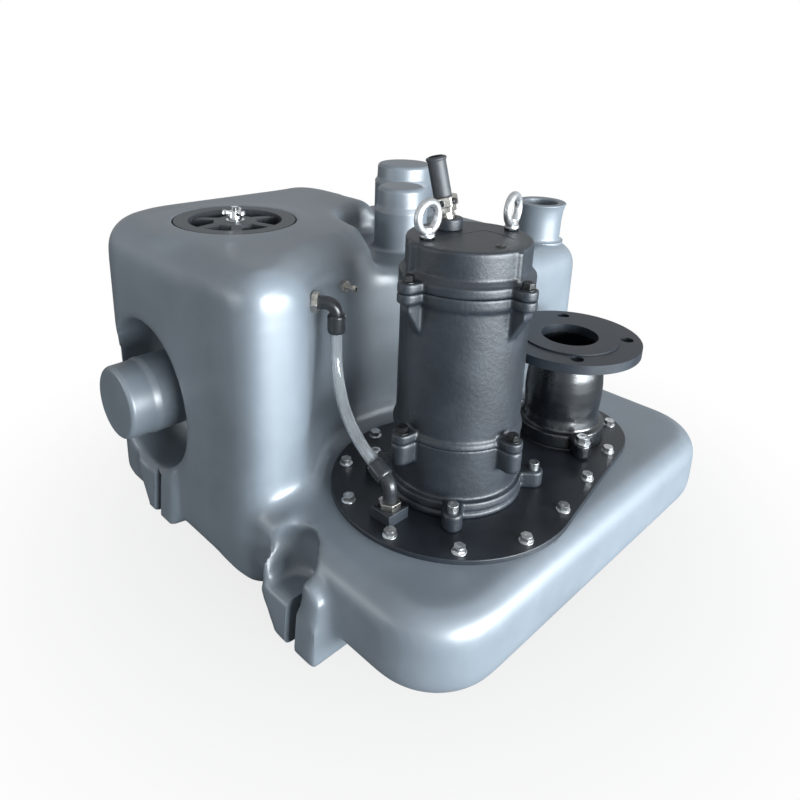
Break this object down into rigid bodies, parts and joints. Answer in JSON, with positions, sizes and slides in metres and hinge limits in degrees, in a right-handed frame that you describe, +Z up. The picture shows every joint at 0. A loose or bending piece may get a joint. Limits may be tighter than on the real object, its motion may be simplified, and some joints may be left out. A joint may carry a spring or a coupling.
{
  "type": "sewage lifting station",
  "caption": "Floor-standing sewage lifting station: moulded tank with closed inlet stubs, vertical sump pump, check valve under the discharge flange and a clamped inspection lid.",
  "frame": {"origin": "centre of the footprint, on the floor", "axes": "+Z up along the discharge bore, +Y from the pump's side to the lid's side, -X out of the side inlet"},
  "size_m": [0.689, 0.711, 0.5499],
  "materials": {
    "tank_plastic": "semi-gloss moulded polyethylene",
    "cast_black": "black paint over cast iron, semi-gloss",
    "plate_black": "black speckled coating",
    "zinc": "bright zinc",
    "dark_steel": "blackened steel",
    "nickel": "nickel plate",
    "rubber": "black rubber",
    "lid_plastic": "dark grey plastic",
    "fitting_plastic": "black plastic",
    "clear_hose": "milky clear tube",
    "cast_plain": "coated cast iron",
    "copper_windings": "varnished windings on laminations",
    "steel": "plain steel"
  },
  "bodies": {
    "station": {"tank_shell": "tank_plastic", "tank_platform": "tank_plastic", "vent_spigot": "tank_plastic", "backing_ring": "steel", "plate_gasket": "rubber", "cover_plate": "plate_black", "plate_bolts": "zinc", "oil_chamber": "cast_black", "chamber_screws": "zinc", "motor_housing": "cast_black", "housing_bolts": "dark_steel", "motor_cover": "cast_black", "cover_bolts": "dark_steel", "cover_screw": "dark_steel", "eye_bolts": "zinc", "gland_boss": "cast_black", "gland_body": "nickel", "gland_clamp": "nickel", "gland_screws": "steel", "cable_sleeve": "rubber", "stator": "copper_windings", "upper_bearing": "steel", "lower_bearing": "steel", "mechanical_seal": "rubber", "volute": "cast_plain", "suction_plate": "cast_plain", "suction_screws": "steel", "check_valve": "cast_black", "valve_gasket": "rubber", "valve_bolts": "zinc", "flap_pin": "steel", "vent_block": "cast_black", "block_screws": "steel", "lower_elbow_nut": "nickel", "lower_elbow": "fitting_plastic", "lower_collar": "fitting_plastic", "vent_hose": "clear_hose", "upper_collar": "fitting_plastic", "upper_elbow": "fitting_plastic", "upper_elbow_nut": "nickel", "level_port": "nickel", "level_tube": "lid_plastic", "clamp_bar": "steel", "clamp_stud": "zinc"},
    "rotor": {"shaft": "steel", "rotor_core": "steel", "impeller": "cast_plain", "impeller_nut": "steel"},
    "flap": {"valve_flap": "rubber"},
    "lid": {"inspection_lid": "lid_plastic", "lid_seal": "rubber", "stud_washer": "zinc"},
    "wing_nut": {"wing_nut": "zinc"}
  },
  "joints": [
    {"name": "rotor_spin", "type": "hinge", "parent": "station", "child": "rotor", "pos_m": [-0.0855, -0.1762, 0.2], "axis": [0, 0, 1], "continuous": true},
    {"name": "flap_swing", "type": "hinge", "parent": "station", "child": "flap", "pos_m": [0.08977, -0.19524, 0.178], "axis": [-0.108, -0.9942, 0], "range_deg": [0, 60]},
    {"name": "lid_lift", "type": "slide", "parent": "station", "child": "lid", "axis": [0, 0, 1], "range_m": [0, 0.08]},
    {"name": "wing_nut_turn", "type": "hinge", "parent": "lid", "child": "wing_nut", "pos_m": [-0.1715, 0.1805, 0.43], "axis": [0, 0, 1], "continuous": true}
  ]
}
